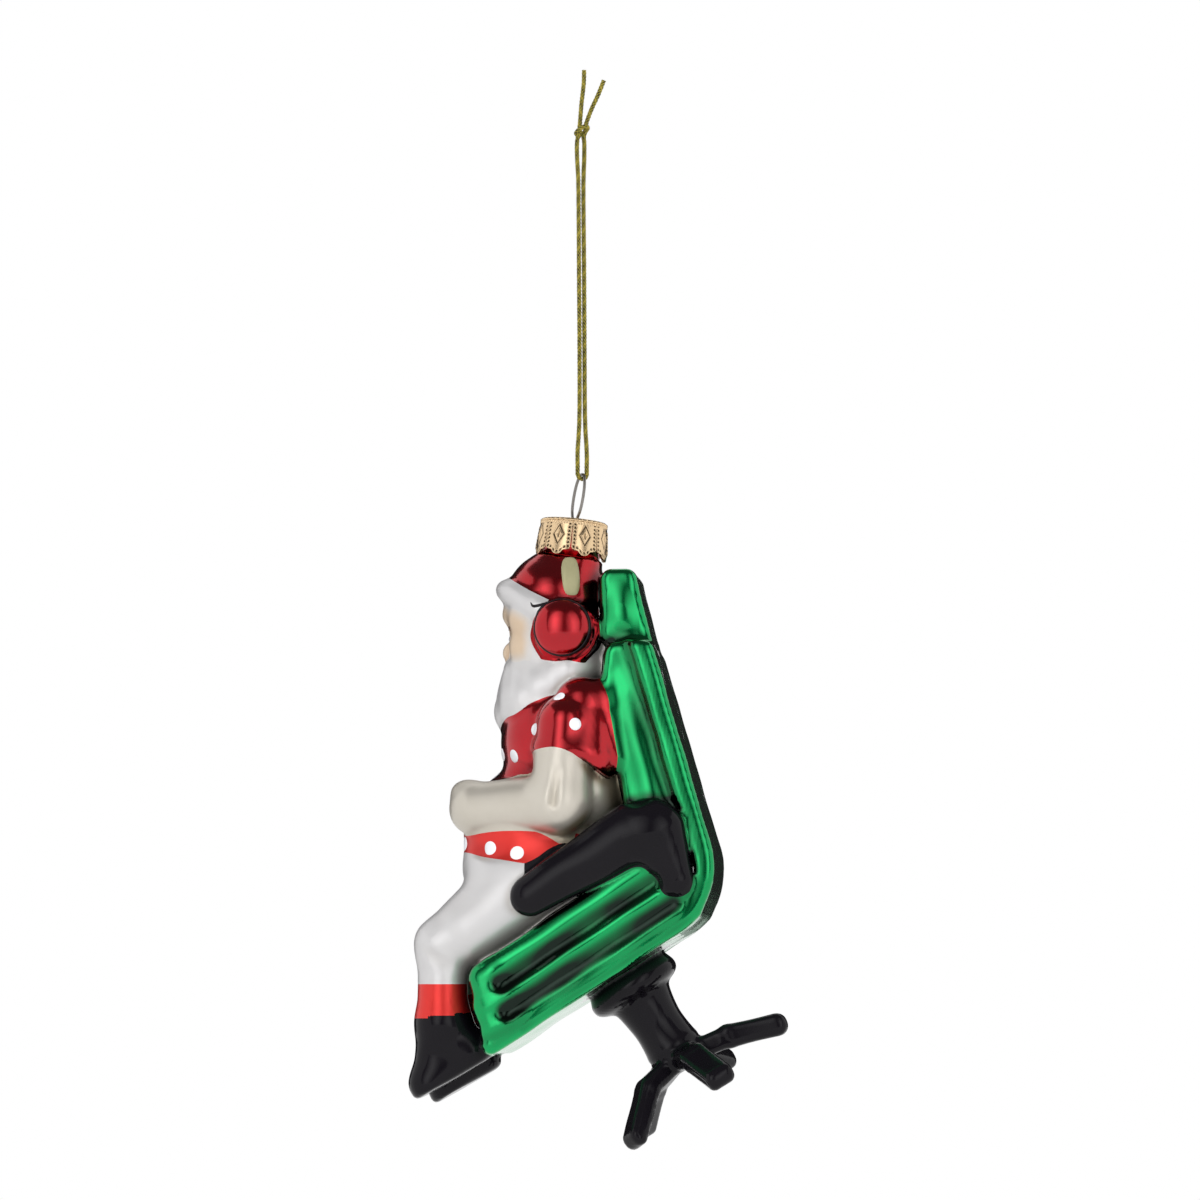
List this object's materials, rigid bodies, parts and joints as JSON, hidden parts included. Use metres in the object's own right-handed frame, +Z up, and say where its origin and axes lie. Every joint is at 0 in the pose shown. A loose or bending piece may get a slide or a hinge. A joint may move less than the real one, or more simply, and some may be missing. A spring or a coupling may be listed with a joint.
{
  "type": "glass santa ornament",
  "caption": "Blown-glass tree ornament: Santa with headphones in a swivel chair, hung by a stamped cap, a sprung wire eye and a braided cord loop.",
  "frame": {"origin": "the top of the cord's loop, just under its knot, where a branch or a hook carries the ornament", "axes": "+Z up along the hanging cord, -Y the way the figure faces, +X towards the figure's left hand"},
  "size_m": [0.0395, 0.0759, 0.2224],
  "materials": {
    "red_lacquer": "red mirror lacquer on silvered blown glass",
    "scarlet_lacquer": "bright scarlet satin lacquer on blown glass",
    "green_lacquer": "green mirror lacquer on silvered blown glass",
    "pearl_lacquer": "pearl white satin lacquer on blown glass",
    "cream_lacquer": "pearl cream satin lacquer on blown glass",
    "skin_lacquer": "warm satin lacquer on blown glass",
    "olive_lacquer": "pale gold satin lacquer on blown glass",
    "black_lacquer": "glossy black lacquer on blown glass",
    "stamped_brass": "stamped sheet, bright gilt",
    "steel_wire": "thin drawn wire",
    "braided_cord": "metallic braid in gold, olive and black"
  },
  "bodies": {
    "cord": {"cord_strand_a": "braided_cord", "cord_strand_b": "braided_cord", "cord_knot": "braided_cord", "cord_tail_a": "braided_cord", "cord_tail_b": "braided_cord"},
    "bight": {"cord_bight": "braided_cord"},
    "hanger": {"hanger_wire": "steel_wire"},
    "cap": {"cap": "stamped_brass"},
    "glass": {"glass_neck": "red_lacquer", "hat": "red_lacquer", "ear_cup_left": "red_lacquer", "ear_cup_right": "red_lacquer", "ear_pad_left": "red_lacquer", "ear_pad_right": "red_lacquer", "sleeve_left": "red_lacquer", "sleeve_right": "red_lacquer", "shirt_front": "red_lacquer", "shirt_hem": "scarlet_lacquer", "sock_left": "scarlet_lacquer", "sock_right": "scarlet_lacquer", "chair_shell": "green_lacquer", "seat_cushion": "green_lacquer", "back_cushion": "green_lacquer", "headrest": "green_lacquer", "hat_brim": "pearl_lacquer", "moustache": "pearl_lacquer", "beard": "pearl_lacquer", "hair": "pearl_lacquer", "trouser_left": "pearl_lacquer", "trouser_right": "pearl_lacquer", "arm_left": "cream_lacquer", "arm_right": "cream_lacquer", "lower_back": "cream_lacquer", "face": "skin_lacquer", "nose": "skin_lacquer", "headphone_band_left": "olive_lacquer", "headphone_band_right": "olive_lacquer", "boot_left": "black_lacquer", "boot_right": "black_lacquer", "armrest_left": "black_lacquer", "armrest_right": "black_lacquer", "pedestal_flange": "black_lacquer", "pedestal_post": "black_lacquer", "base_hub": "black_lacquer", "base_leg_1": "black_lacquer", "base_leg_2": "black_lacquer", "base_leg_3": "black_lacquer", "base_leg_4": "black_lacquer", "base_leg_5": "black_lacquer"}
  },
  "joints": [
    {"name": "cord_twist", "type": "hinge", "parent": "cord", "child": "bight", "pos_m": [0, 0, 0], "axis": [0, 0, 1], "range_deg": [-180, 180]},
    {"name": "ornament_swing", "type": "hinge", "parent": "bight", "child": "hanger", "pos_m": [0, 0, -0.07055], "axis": [0.8191, 0.5736, 0], "range_deg": [-35, 35]},
    {"name": "hanger_slide", "type": "slide", "parent": "hanger", "child": "cap", "axis": [0, -0.0958, -0.9954], "range_m": [0, 0.002]},
    {"name": "cap_lift_off", "type": "slide", "parent": "cap", "child": "glass", "axis": [0, -0.0958, -0.9954], "range_m": [0, 0.018]}
  ]
}
